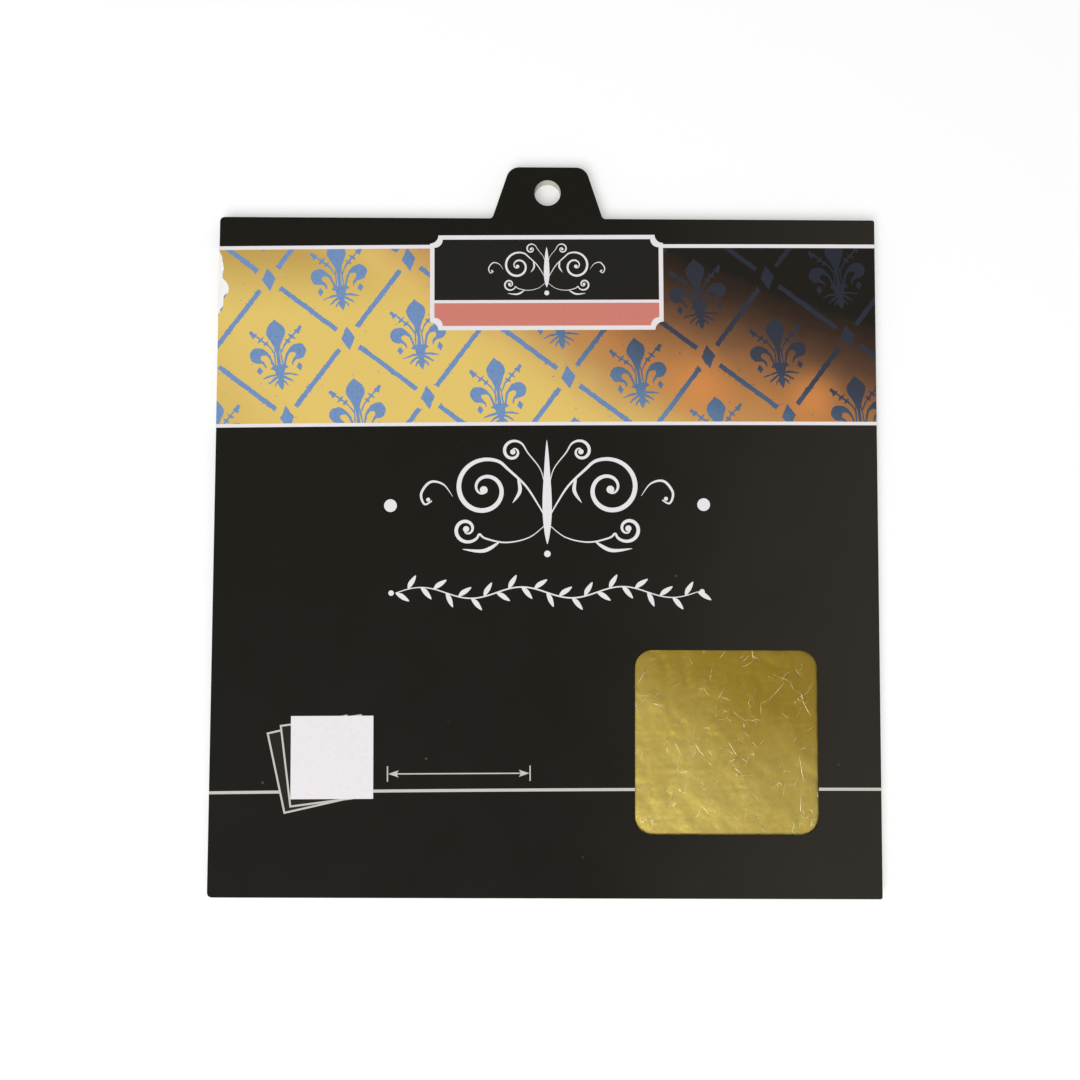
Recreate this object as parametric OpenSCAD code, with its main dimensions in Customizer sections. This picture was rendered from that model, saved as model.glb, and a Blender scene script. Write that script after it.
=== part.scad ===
// Booklet of gold leaf: a folded card cover with a hang tab and a window, round a
// side-stapled block of tissue pages that carry one square of leaf each.
// Millimetres. It lies on its back: X runs from the spine fold to the fore edge,
// Y up the front towards the hang tab, Z out of the front. The origin is on the
// table, under the middle of the outline with its tab.

/* [Leaf and tissue] */
// Side of one square of leaf
leaf_size = 140; // [80:1:160]
// Thickness of one leaf, crinkles included
leaf_t = 0.02; // [0.01:0.01:0.05]
// Thickness of one tissue sheet
tissue_t = 0.05; // [0.03:0.01:0.08]
// Air over each turning page, which lies looser than the block behind
page_air = 0.05; // [0.02:0.01:0.1]
// Pages behind the turning ones
rear_count = 19; // [5:1:30]
// Leaf's fore edge inside the cover's fore edge
leaf_fore_margin = 2.2; // [1.5:0.1:6]
// Leaf's head and foot inside the cover's
leaf_end_margin = 6.75; // [3:0.25:12]
// Tissue's fore edge inside the cover's fore edge
tissue_fore_margin = 1; // [0.5:0.1:1.4]
// Tissue's head and foot inside the cover's
tissue_end_margin = 2.25; // [1.25:0.25:2.75]

/* [Cover card] */
// Thickness of the card
card_t = 0.4; // [0.25:0.05:0.6]
// Rounding of the corners at the two ends of the spine
fold_corner_r = 1.2; // [0.5:0.1:3]
// Rounding of the cut corners at the fore edge
fore_corner_r = 0.5; // [0.2:0.1:3]

/* [Hang tab] */
// Height of the tab above the cover's head
tab_h = 12; // [9:0.5:20]
// Width of the tab where it leaves the cover
tab_base_w = 25.3; // [20:0.1:40]
// Width of the tab at its top, were its corners sharp
tab_top_w = 17.3; // [14:0.1:20]
// Rounding of the tab's top corners
tab_corner_r = 3; // [1:0.25:4]
// Small fillet between the tab and the cover's head
tab_fillet_r = 1; // [0.25:0.25:2]
// Diameter of the punched hang hole
hole_d = 6; // [4:0.5:7]
// Centre of the hole below the top of the tab
hole_drop = 6; // [5:0.25:7]

/* [Window] */
// Side of the square window
window_size = 41; // [20:1:70]
// Rounding of the window's corners
window_corner_r = 4; // [1:0.5:8]
// Window's edge inside the cover's fore edge
window_fore_margin = 14; // [11:0.5:30]
// Window's edge above the cover's foot
window_foot_margin = 14; // [11:0.5:60]
// Film's reach past the window, all round
film_lap = 4; // [3:0.5:6]
// Thickness of the clear film
film_t = 0.1; // [0.05:0.01:0.15]
// Width of the ring of adhesive that holds the film
adhesive_w = 2.5; // [1:0.25:2.75]
// Thickness of that adhesive
adhesive_t = 0.05; // [0.03:0.01:0.08]

/* [Binding] */
// Thickness of the glue between the block and the spine panel
spine_glue_t = 0.25; // [0.1:0.05:0.5]
// Staple wire in from the bound edge
staple_inset = 3; // [2:0.25:6]
// Width of one staple, middle of leg to middle of leg
staple_w = 11; // [8:0.5:14]
// Distance between the middles of the two staples
staple_spacing = 80; // [40:1:110]
// Diameter of the staple wire
wire_d = 0.5; // [0.4:0.05:0.7]
// Bend of the wire, on its middle line
wire_bend_r = 0.3; // [0.3:0.05:0.35]
// Straight length of each clinched end
clinch_len = 3.5; // [2:0.25:3.75]
// First crease, from the staple wire
crease_inset = 2; // [1.5:0.25:4]
// How much further in each lower page has its crease
crease_step = 0.3; // [0.3:0.05:0.6]
// From the last crease to the leaves
leaf_crease_gap = 0.65; // [0.3:0.05:3]

/* [Clearances] */
// Round the wire in its holes
wire_clear = 0.05; // [0.02:0.01:0.1]
// Between a page and its bound margin
crease_gap = 0.05; // [0.03:0.01:0.1]
// Between the staples and the closed cover
crown_clear = 0.05; // [0.02:0.01:0.2]

/* [Hidden] */

$fn = 48;
// Pages that turn one by one, counted down from the window
turning_pages = 6;
// How far a cutting shape runs past what it cuts
cut_over = 1;
// How far the tab's outline runs on into the cover
tab_root = 2;

// Across the booklet, from the spine fold
bound_x = card_t + spine_glue_t;
staple_x = bound_x + staple_inset;
last_crease_x = staple_x + crease_inset + (turning_pages - 1) * crease_step;
leaf_x = last_crease_x + leaf_crease_gap;
cover_w = leaf_x + leaf_size + leaf_fore_margin;
tissue_end_x = cover_w - tissue_fore_margin;

// Up the booklet, from the cover's foot
cover_h = leaf_size + 2 * leaf_end_margin;
total_h = cover_h + tab_h;

// Through the booklet, from the table
rear_pitch = tissue_t + leaf_t;
page_pitch = rear_pitch + page_air;
rear_top_z = card_t + rear_count * rear_pitch;
stack_top_z = rear_top_z + (turning_pages - 1) * page_pitch + tissue_t;
clinch_z = card_t + wire_d / 2;
crown_z = stack_top_z + wire_d / 2;
front_z = stack_top_z + wire_d + crown_clear;

function crease_x(page) = staple_x + crease_inset + (page - 1) * crease_step;
function page_z(page) = rear_top_z + (turning_pages - page) * page_pitch;

// Everything below is drawn from the foot of the spine fold, and this moves it
// onto the part's own origin.
module placed() {
    translate([-cover_w / 2, -total_h / 2, 0]) children();
}

// The bit that a rounding of radius r takes off a square corner at the origin
module corner_waste(r) {
    difference() {
        translate([-cut_over, -cut_over]) square(r + cut_over);
        translate([r, r]) circle(r);
    }
}

module rounded_square(side, r) {
    translate([r, 0]) square([side - 2 * r, side]);
    translate([0, r]) square([side, side - 2 * r]);
    for (x = [r, side - r], y = [r, side - r]) translate([x, y]) circle(r);
}

// Tapered tab on the line y = 0, its top corners rounded and its foot filleted. It
// goes on below the line, so that it is one sheet with the cover.
module tab_outline() {
    base = tab_base_w / 2;
    lean = atan2(base - tab_top_w / 2, tab_h);
    corner_y = tab_h - tab_corner_r;
    corner_x = base - (tab_corner_r + corner_y * sin(lean)) / cos(lean);
    fillet_x = base + tab_fillet_r * (1 - sin(lean)) / cos(lean);
    side_x = corner_x + tab_corner_r * cos(lean);
    side_y = corner_y + tab_corner_r * sin(lean);
    polygon([[-base, -tab_root], [base, -tab_root], [base, 0], [side_x, side_y],
        [corner_x, tab_h], [-corner_x, tab_h], [-side_x, side_y], [-base, 0]]);
    for (side = [0, 1]) mirror([side, 0]) {
        translate([corner_x, corner_y]) circle(tab_corner_r);
        difference() {
            polygon([[0, -tab_root], [fillet_x, -tab_root], [fillet_x, tab_fillet_r],
                [fillet_x - tab_fillet_r * cos(lean), tab_fillet_r * (1 - sin(lean))],
                [0, tab_fillet_r * (1 - sin(lean))]]);
            translate([fillet_x, tab_fillet_r]) circle(tab_fillet_r);
        }
    }
}

// One leaf of the cover: the sheet with its tab, punched for hanging
module cover_outline() {
    difference() {
        union() {
            square([cover_w, cover_h]);
            translate([cover_w / 2, cover_h]) tab_outline();
        }
        corner_waste(fold_corner_r);
        translate([0, cover_h]) mirror([0, 1]) corner_waste(fold_corner_r);
        translate([cover_w, 0]) mirror([1, 0]) corner_waste(fore_corner_r);
        translate([cover_w, cover_h]) mirror([1, 0]) mirror([0, 1]) corner_waste(fore_corner_r);
        translate([cover_w / 2, total_h - hole_drop]) circle(d = hole_d);
    }
}

// What the fold takes off the outer edge of a cover whose outer face is at z = 0
// and whose inner face is card_t above it
module fold_waste() {
    difference() {
        translate([-cut_over, -cut_over, -cut_over])
            cube([card_t + cut_over, cover_h + 2 * cut_over, card_t + cut_over]);
        translate([card_t, -2 * cut_over, card_t])
            rotate([-90, 0, 0]) cylinder(r = card_t, h = cover_h + 4 * cut_over);
    }
}

module back_cover() {
    color([0.13, 0.125, 0.11]) placed() difference() {
        linear_extrude(card_t) cover_outline();
        fold_waste();
    }
}

module window_place(reach) {
    translate([cover_w - window_fore_margin - window_size - reach, window_foot_margin - reach])
        children();
}

module front_cover() {
    color([0.13, 0.125, 0.11]) placed() translate([0, 0, front_z]) difference() {
        linear_extrude(card_t) difference() {
            cover_outline();
            window_place(0) rounded_square(window_size, window_corner_r);
        }
        translate([0, 0, card_t]) mirror([0, 0, 1]) fold_waste();
    }
}

module spine_panel() {
    color([0.13, 0.125, 0.11]) placed() translate([0, fold_corner_r, card_t])
        cube([card_t, cover_h - 2 * fold_corner_r, front_z - card_t]);
}

module film_adhesive() {
    // Centred on the lap, so that nothing squeezes out on either side
    inner = (film_lap - adhesive_w) / 2;
    color([0.85, 0.85, 0.8, 0.6]) placed() translate([0, 0, front_z - adhesive_t])
        linear_extrude(adhesive_t) difference() {
            window_place(film_lap - inner)
                rounded_square(window_size + 2 * (film_lap - inner), window_corner_r);
            window_place(inner) rounded_square(window_size + 2 * inner, window_corner_r);
        }
}

module window_film() {
    color([0.9, 0.93, 0.95, 0.35]) placed() translate([0, 0, front_z - adhesive_t - film_t])
        linear_extrude(film_t) window_place(film_lap)
            rounded_square(window_size + 2 * film_lap, window_corner_r);
}

module spine_glue() {
    color([0.9, 0.86, 0.72, 0.8]) placed() translate([card_t, tissue_end_margin, card_t])
        cube([spine_glue_t, cover_h - 2 * tissue_end_margin, stack_top_z - card_t]);
}

module upper_staple() {
    color([0.72, 0.72, 0.72]) placed() staple(cover_h / 2 + staple_spacing / 2);
}

module lower_staple() {
    color([0.72, 0.72, 0.72]) placed() staple(cover_h / 2 - staple_spacing / 2);
}

// One wire staple: crown on the first page's margin, legs through the block, both
// ends clinched towards each other under the last sheet
module staple(middle_y) {
    flat = staple_w / 2 - wire_bend_r;
    translate([staple_x, middle_y, 0]) {
        translate([0, -flat, crown_z]) wire_along_y(2 * flat);
        for (side = [0, 1]) mirror([0, side, 0]) {
            translate([0, flat, crown_z - wire_bend_r]) wire_bend(0);
            translate([0, staple_w / 2, clinch_z + wire_bend_r])
                cylinder(d = wire_d, h = crown_z - clinch_z - 2 * wire_bend_r);
            translate([0, flat, clinch_z + wire_bend_r]) wire_bend(-90);
            translate([0, flat - clinch_len, clinch_z]) wire_along_y(clinch_len);
        }
    }
}

module wire_along_y(length) {
    rotate([-90, 0, 0]) cylinder(d = wire_d, h = length);
}

// Quarter bend round the X axis, from the +Y direction towards +Z, turned by turn
module wire_bend(turn) {
    rotate([turn, 0, 0]) rotate([90, 0, 90]) rotate_extrude(angle = 90)
        translate([wire_bend_r, 0]) circle(d = wire_d);
}

// What both staples take out of the sheets: a hole for each leg, and under the
// block the dent that the clinched ends press into the last sheets
module staple_room() {
    room_r = wire_d / 2 + wire_clear;
    dent_w = staple_w + 2 * room_r;
    for (side = [-1, 1]) translate([staple_x, cover_h / 2 + side * staple_spacing / 2, 0]) {
        for (leg = [-1, 1]) translate([0, leg * staple_w / 2, card_t - cut_over])
            cylinder(r = room_r, h = stack_top_z - card_t + 2 * cut_over, $fn = 24);
        translate([-room_r, -dent_w / 2, card_t - cut_over])
            cube([2 * room_r, dent_w, wire_d + wire_clear + cut_over]);
    }
}

// One tissue sheet from x0 to x1, its lower face at z
module tissue_sheet(x0, x1, z) {
    translate([x0, tissue_end_margin, z])
        cube([x1 - x0, cover_h - 2 * tissue_end_margin, tissue_t]);
}

// One square of leaf on the tissue whose lower face is at z
module leaf_sheet(z) {
    translate([leaf_x, leaf_end_margin, z + tissue_t]) cube([leaf_size, leaf_size, leaf_t]);
}

// The bound strips of the turning pages, from the glued edge to each crease
module tissue_margins() {
    color([0.93, 0.9, 0.85]) placed() for (page = [1 : turning_pages]) difference() {
        tissue_sheet(bound_x, crease_x(page) - crease_gap, page_z(page));
        staple_room();
    }
}

module turning_tissue(page) {
    color([0.95, 0.93, 0.89]) placed() tissue_sheet(crease_x(page), tissue_end_x, page_z(page));
}

module turning_leaf(page) {
    color([0.72, 0.6, 0.27]) placed() leaf_sheet(page_z(page));
}

module rear_tissues() {
    color([0.95, 0.93, 0.89]) placed() for (sheet = [0 : rear_count - 1]) difference() {
        tissue_sheet(bound_x, tissue_end_x, card_t + sheet * rear_pitch);
        staple_room();
    }
}

module rear_leaves() {
    color([0.72, 0.6, 0.27]) placed() for (sheet = [0 : rear_count - 1])
        leaf_sheet(card_t + sheet * rear_pitch);
}

back_cover();
spine_panel();
front_cover();
window_film();
film_adhesive();
spine_glue();
upper_staple();
lower_staple();
tissue_margins();
turning_tissue(1);  // tissue_1
turning_leaf(1);  // leaf_1
turning_tissue(2);  // tissue_2
turning_leaf(2);  // leaf_2
turning_tissue(3);  // tissue_3
turning_leaf(3);  // leaf_3
turning_tissue(4);  // tissue_4
turning_leaf(4);  // leaf_4
turning_tissue(5);  // tissue_5
turning_leaf(5);  // leaf_5
turning_tissue(6);  // tissue_6
turning_leaf(6);  // leaf_6
rear_tissues();
rear_leaves();
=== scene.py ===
"""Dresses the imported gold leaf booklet: printed card, band, window film, leaf, tissue, wire and stage.

Lengths in the lists below are millimetres on the part: X from fold to fore edge, Y up the front.
"""
import math

import bmesh
import bpy
import numpy as np
from bpy.props import FloatProperty, FloatVectorProperty, IntProperty, PointerProperty
from mathutils import Matrix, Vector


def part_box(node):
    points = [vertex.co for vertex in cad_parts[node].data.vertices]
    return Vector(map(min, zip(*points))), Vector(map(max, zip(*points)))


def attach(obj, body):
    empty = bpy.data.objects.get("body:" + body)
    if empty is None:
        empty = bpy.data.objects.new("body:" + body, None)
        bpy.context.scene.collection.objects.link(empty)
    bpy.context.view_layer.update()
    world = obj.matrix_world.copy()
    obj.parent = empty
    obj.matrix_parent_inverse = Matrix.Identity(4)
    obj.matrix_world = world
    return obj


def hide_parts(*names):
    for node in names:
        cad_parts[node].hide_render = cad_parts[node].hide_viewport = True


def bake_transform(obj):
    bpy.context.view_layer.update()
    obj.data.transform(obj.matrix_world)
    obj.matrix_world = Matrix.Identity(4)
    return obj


bl_info = {
    "name": "Gold Leaf Booklet",
    "version": (1, 0, 0),
    "blender": (4, 5, 0),
    "location": "View3D > Sidebar > Booklet",
    "description": "Prints and finishes a stapled booklet of gold leaf",
    "category": "Object",
}

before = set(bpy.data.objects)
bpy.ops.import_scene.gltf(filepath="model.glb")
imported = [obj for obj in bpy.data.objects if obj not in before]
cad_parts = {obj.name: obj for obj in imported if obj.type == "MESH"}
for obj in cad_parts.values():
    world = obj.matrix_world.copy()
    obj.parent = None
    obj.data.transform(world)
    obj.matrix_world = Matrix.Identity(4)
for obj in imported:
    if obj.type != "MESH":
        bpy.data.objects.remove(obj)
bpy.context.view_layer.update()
MM = 0.001
CARD_LOW, CARD_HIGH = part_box("front_cover")
SPINE_LOW, SPINE_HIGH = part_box("spine_panel")
FACE = CARD_HIGH.z / MM
RIGHT = CARD_HIGH.x / MM
FOLD_X, FOLD_Z = SPINE_HIGH.x / MM, SPINE_HIGH.z / MM
FOLD_R = FACE - FOLD_Z
CORNER_RUN = FOLD_R * math.pi / 2
SPINE_RUN = CORNER_RUN + FOLD_Z - SPINE_LOW.z / MM
HOLLOW = (20.0, 61.0, -68.75, -27.75)
TURNING = 6
TOP_RULE, LOW_RULE, FOOT_RULE = 64.32, 23.4, -58.9
PRINT_TILT = 0.0083
PRINT_BOW = -4.6e-5
PRINT_GAP = 0.001
CROSSING, CROSSING_LEVELS = 0.7e-6, 13
FOLD_FACETS = 8
MERGE = 2e-7


def hue(name, text, default):
    return FloatVectorProperty(name=name, description=text, default=default, size=3, min=0, max=1, subtype="COLOR")


def length(name, text, default):
    return FloatProperty(name=name, description=text, default=default, min=0, subtype="DISTANCE", unit="LENGTH")


class BookletCard(bpy.types.PropertyGroup):
    black: hue("Black print", "Colour of the black print on the card", (0.0064, 0.0058, 0.0034))
    # painted sheen: a greyer black towards the right stands in for light on the print
    sheen_black: hue("Sheened black", "Black print where handling has greyed it", (0.0235, 0.0200, 0.0150))
    board: hue("Board", "Bare board inside the covers and on cut edges", (0.70, 0.665, 0.59))
    torn: hue("Torn board", "Fresh white board where the print is worn away", (0.93, 0.92, 0.90))
    grain: length("Grain", "Size of the card's fine grain", 0.00022)
    print_depth: length("Print depth", "How far the black print reaches into a cut edge", 0.00001)


class BookletPrint(bpy.types.PropertyGroup):
    gold: hue("Gold ground", "Ground colour of the patterned band", (0.780, 0.562, 0.150))
    tan: hue("Tan shade", "Colour that the ground takes along its upper edge", (0.430, 0.255, 0.062))
    straw: hue("Straw", "Ground colour where the gold begins to warm", (0.735, 0.500, 0.138))
    honey: hue("Honey", "Ground colour past straw", (0.625, 0.395, 0.120))
    copper: hue("Copper", "Ground colour between honey and amber", (0.525, 0.268, 0.084))
    amber: hue("Amber", "Ground colour in the middle of the change", (0.480, 0.205, 0.062))
    glow: hue("Glow", "Brighter orange spots at the lower edge", (0.680, 0.255, 0.066))
    russet: hue("Russet", "Ground colour where the amber darkens", (0.335, 0.146, 0.050))
    brown: hue("Brown", "Ground colour past the amber", (0.188, 0.084, 0.036))
    umber: hue("Umber", "Ground colour before the dark corner", (0.088, 0.042, 0.022))
    soot: hue("Soot", "Ground colour at the edge of the dark corner", (0.033, 0.0162, 0.0085))
    night: hue("Dark corner", "Ground colour in the dark corner", (0.0056, 0.0036, 0.0014))
    blue: hue("Pattern blue", "Colour of the pattern on gold", (0.172, 0.288, 0.520))
    steel: hue("Pattern steel", "Colour of the pattern on copper", (0.105, 0.182, 0.300))
    slate: hue("Pattern slate", "Colour of the pattern on amber", (0.071, 0.113, 0.186))
    iron: hue("Pattern iron", "Colour of the pattern on brown", (0.043, 0.050, 0.077))
    dusk: hue("Pattern dusk", "Colour of the pattern in the dark corner", (0.0275, 0.0325, 0.0490))
    white: hue("White", "White of the rules, dots and penwork", (0.815, 0.775, 0.790))
    pale: hue("Pale grey", "Grey white of the lower rule", (0.57, 0.55, 0.51))
    rose: hue("Rose", "Dusty rose strip of the cartouche", (0.628, 0.210, 0.165))
    layer: length("Ink layer", "Thickness of one layer of ink", 0.000008)
    rule: length("Rule", "Width of the two white rules along the band", 0.00085)
    foot_rule: length("Foot rule", "Width of the rule near the foot", 0.00066)
    bar_length: length("Bar length", "Length of a bar of the diaper", 0.0163)
    bar_width: length("Bar width", "Width of a bar of the diaper", 0.00108)
    lozenge_width: length("Lozenge width", "Width of the lozenge at each crossing", 0.0032)
    lozenge_height: length("Lozenge height", "Height of the lozenge at each crossing", 0.0055)
    rough_edge: length("Rough edge", "How far the edges of the pattern wander", 0.00020)
    flecks: IntProperty(name="Flecks", description="Stray flecks of blue ink on the band", default=150, min=0)


class BookletLeaf(bpy.types.PropertyGroup):
    # painted light and shade: the leaf in the window runs between the deep and bright colours
    light: hue("Bright leaf", "Leaf colour where it shines", (0.350, 0.268, 0.058))
    deep: hue("Deep leaf", "Leaf colour in its darker parts", (0.212, 0.138, 0.006))
    # painted highlight: colour of creases where they catch the light
    wrinkle: hue("Wrinkle", "Colour of a wrinkle that catches the light", (0.95, 0.86, 0.56))
    relief: length("First leaf relief", "How far the first leaf rises below the film", 0.00026)
    inner_relief: length("Inner relief", "How far an inner leaf rises between its sheets", 0.000035)
    wrinkle_width: length("Wrinkle width", "Width of a wrinkle at its middle", 0.00016)
    page_curl: length("Page curl", "Length of a page that bends when it turns", 0.026)


class BookletStage(bpy.types.PropertyGroup):
    camera_place: FloatVectorProperty(
        name="Camera place", description="Where the camera stands",
        default=(-0.003253, -0.023377, 0.309886), subtype="TRANSLATION", unit="LENGTH")
    camera_turn: FloatVectorProperty(
        name="Camera turn", description="How the camera is turned",
        default=(0.0661, -0.0062, 0.0038), subtype="EULER")
    lens: FloatProperty(name="Lens", description="Focal length in millimetres, 36 mm sensor", default=45.387, min=1)
    sky: FloatProperty(name="Sky", description="Strength of the even light from all round", default=0.55, min=0)
    lamp: FloatProperty(name="Lamp", description="Power of the large soft lamp", default=7.6, min=0)
    floor: hue("Floor", "Colour of the floor", (0.80, 0.80, 0.80))


class Term:
    """The output of a node, which takes part in sums as a plain number does."""

    def __init__(self, wiring, socket):
        self.wiring, self.socket = wiring, socket


def reckoned(operation, swapped):
    def apply(self, other):
        return self.wiring.sum(operation, *((other, self) if swapped else (self, other)))
    return apply


for sign, operation in (("add", "ADD"), ("sub", "SUBTRACT"), ("mul", "MULTIPLY"), ("truediv", "DIVIDE")):
    setattr(Term, f"__{sign}__", reckoned(operation, False))
    setattr(Term, f"__r{sign}__", reckoned(operation, True))


class Wiring:
    """A node tree, written as short sums."""

    def __init__(self, tree):
        self.tree = tree
        tree.nodes.clear()

    def put(self, socket, value):
        value = value.socket if isinstance(value, Term) else value
        if isinstance(value, bpy.types.NodeSocket):
            self.tree.links.new(value, socket)
        elif socket.type == "RGBA":
            socket.default_value = (*value[:3], 1)
        else:
            socket.default_value = value

    def node(self, kind, inputs=None, **settings):
        """A new node with its settings, its inputs given by name or by number."""
        made = self.tree.nodes.new(kind)
        for key, value in settings.items():
            setattr(made, key, value)
        for key, value in (inputs or {}).items():
            if isinstance(key, str):
                key = next(i for i, socket in enumerate(made.inputs) if socket.name == key and socket.enabled)
            self.put(made.inputs[key], value)
        return made

    def make(self, kind, inputs=None, output=0, **settings):
        """One output of a new node."""
        return Term(self, self.node(kind, inputs, **settings).outputs[output])

    def sum(self, operation, *values):
        return self.make("ShaderNodeMath", dict(enumerate(values)), operation=operation)

    def most(self, first, *others):
        for other in others:
            first = self.sum("MAXIMUM", first, other)
        return first

    def seen_directly(self):
        """One for rays from the camera, off a shiny face or through the film, and nothing for the light itself."""
        path = self.node("ShaderNodeLightPath").outputs
        return self.most(*(path[f"Is {kind} Ray"] for kind in ("Camera", "Glossy", "Transmission")))


class Recipe(Wiring):
    """A material's node tree on the object's own coordinates."""

    def __init__(self, name):
        self.material = bpy.data.materials.new(name)
        self.material.use_nodes = True
        super().__init__(self.material.node_tree)
        self.shader = self.node("ShaderNodeBsdfPrincipled")
        self.node("ShaderNodeOutputMaterial", {"Surface": self.shader.outputs["BSDF"]})
        self.place = self.make("ShaderNodeTexCoord", output="Object")
        split = self.node("ShaderNodeSeparateXYZ", {0: self.place})
        self.x, self.y, self.z = (Term(self, way) for way in split.outputs)

    def finished(self, height, distance, strength, **values):
        """Gives the shader its bump and its values, and returns the material."""
        bump = self.make("ShaderNodeBump", {"Strength": strength, "Distance": distance, "Height": height})
        for key, value in {**values, "Normal": bump}.items():
            self.put(self.shader.inputs[key.replace("_", " ")], value)
        return self.material

    def step(self, value, low, high):
        return self.make("ShaderNodeMapRange", {0: value, 1: low, 2: high}, interpolation_type="SMOOTHSTEP")

    def blend(self, share, first, second):
        return self.make("ShaderNodeMix", {0: share, 6: first, 7: second}, 2, data_type="RGBA")

    def toned(self, share, colour, dim):
        """A colour, dimmed where the share is high."""
        return self.blend(share, colour, [dim * part for part in colour])

    def ramp(self, value, low, high, stops):
        """A run of colours, given as pairs of a place between low and high and a colour."""
        made = self.node("ShaderNodeValToRGB", {0: (value - low) / (high - low)})
        while len(made.color_ramp.elements) < len(stops):
            made.color_ramp.elements.new(0.5)
        for element, (place, colour) in zip(made.color_ramp.elements, stops):
            element.position = (place - low) / (high - low)
            element.color = (*colour, 1)
        return Term(self, made.outputs[0])

    def grain(self, size, detail=2.0, stretch=None):
        place = self.make("ShaderNodeMapping", {"Vector": self.place, "Scale": stretch}) if stretch else self.place
        return self.make("ShaderNodeTexNoise", {"Vector": place, "Scale": 1 / size, "Detail": detail})

    def board_fibre(self):
        return self.grain(0.0006, 6.0, (1.0, 0.35, 1.0))

    def hairlines(self, size, width, shake, gap):
        """Short curved lines, broken by a second noise."""
        noise = self.make("ShaderNodeTexNoise", {"Vector": self.place, "Scale": 1 / (size * 0.5)}, "Color")
        place = self.make("ShaderNodeVectorMath", {0: noise, 1: (shake,) * 3, 2: self.place}, operation="MULTIPLY_ADD")
        cells = {"Vector": place, "Scale": 1 / size}
        aside = self.make("ShaderNodeTexVoronoi", cells, "Distance", feature="DISTANCE_TO_EDGE")
        return (1.0 - self.step(aside, 0.0, width)) * self.step(self.grain(gap), 0.54, 0.66)

    def along(self, across, up, start=0.0):
        """Millimetres along a direction in the face of the card, from a line."""
        return self.x * (across / MM) + self.y * (up / MM) - start

    def near(self, across, up, reach):
        """One at a place on the face of the card, falling to nothing at the reach, in millimetres."""
        aside, above = self.x / MM - across, self.y / MM - up
        return 1.0 - self.step(self.sum("SQRT", aside * aside + above * above), 0.0, reach)


def band_depth(recipe):
    """Millimetres along the band's change from gold to night, which fans out from under the cartouche."""
    depth = recipe.sum("MINIMUM", recipe.along(0.342, 0.940), recipe.along(0.574, 0.819))
    return depth + (recipe.grain(0.018, 3.0) - 0.5) * 4.0


def ground_colour(recipe, ink):
    """Gold that turns tan at its upper edge, then amber and dark towards the upper right corner."""
    upper = recipe.step(recipe.along(0.0, 1.0), 47.0, 67.0) * 0.8
    corner = recipe.step(recipe.along(-0.8, -0.6), 27.0, 47.0) * 0.3
    mottle = recipe.grain(0.004, 4.0)
    gold = recipe.blend(recipe.most(upper, corner), recipe.toned(mottle * 0.35, ink.gold, 0.88), ink.tan)
    stops = [(18, ink.gold), (27, ink.straw), (32, ink.honey), (37.5, ink.copper), (43.5, ink.amber), (49, ink.russet)]
    stops += [(54, ink.brown), (58.5, ink.umber), (63.5, ink.soot), (69, ink.night)]
    depth = band_depth(recipe)
    glow = recipe.most(recipe.near(34.4, 31.7, 11.0), recipe.near(60.3, 29.6, 9.0))
    dark = recipe.blend(glow * 0.75, recipe.ramp(depth + (mottle - 0.5) * 2.5, 18.0, 70.0, stops), ink.glow)
    return recipe.blend(recipe.step(depth, 18.0, 29.0), gold, dark)


def card_finish(name):
    """Black print on the outer faces, painted shade on the window's cut edge, bare board inside."""
    card = bpy.context.scene.booklet_card
    recipe = Recipe(name)
    aside = recipe.most(SPINE_HIGH.x - recipe.x, 0.0)
    outward = recipe.most(recipe.z - SPINE_HIGH.z, SPINE_LOW.z - recipe.z, 0.0)
    depth = FACE * MM - SPINE_HIGH.z
    reach = recipe.sum("SQRT", aside * aside + outward * outward)
    printed = recipe.step(reach, depth - 4 * card.print_depth, depth - 2 * card.print_depth)
    half = (HOLLOW[1] - HOLLOW[0]) / 2 * MM
    spread = (recipe.x - (HOLLOW[0] + HOLLOW[1]) / 2 * MM, recipe.y - (HOLLOW[2] + HOLLOW[3]) / 2 * MM)
    spread = recipe.most(*(recipe.sum("ABSOLUTE", way) for way in spread))
    # painted shade: the window's cut edge is coloured as black print, standing in for shade in the cut
    painted_cut_shade = 1.0 - recipe.step(spread, half + 0.00012, half + 0.0002)
    in_front = recipe.step(recipe.z, CARD_LOW.z - 0.0003, CARD_LOW.z - 0.0001)
    printed = recipe.most(printed, painted_cut_shade * in_front)
    # painted sheen: the black print greys towards the right, with noisy edges
    sheen = recipe.step(recipe.along(0.98, -0.08) + recipe.grain(0.03) * 26.0, 14.0, 92.0)
    black = recipe.blend(sheen, card.black, card.sheen_black)
    dust = recipe.node("ShaderNodeTexVoronoi", {"Vector": recipe.place, "Scale": 1 / 0.0052}).outputs
    speck = (1.0 - recipe.step(dust["Distance"], 0.03, 0.075)) * recipe.step(dust["Color"], 0.55, 0.9)
    black = recipe.blend(speck * 0.2, black, (0.30, 0.29, 0.26))
    board = recipe.toned(recipe.step(recipe.board_fibre(), 0.3, 0.75), card.board, 0.9)
    rough = 0.58 + recipe.grain(0.011, 3.0) * 0.14 + (1.0 - printed) * 0.25
    return recipe.finished(
        recipe.grain(card.grain, 3.0), 0.000012, 0.5,
        Base_Color=recipe.blend(printed, board, black), Roughness=rough, Specular_IOR_Level=0.09)


def board_finish(name):
    recipe = Recipe(name)
    fibre = recipe.board_fibre()
    colour = recipe.toned(recipe.step(fibre, 0.3, 0.75), bpy.context.scene.booklet_card.torn, 0.94)
    return recipe.finished(fibre, 0.00003, 0.6, Base_Color=colour, Roughness=0.9, Specular_IOR_Level=0.1)


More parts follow.
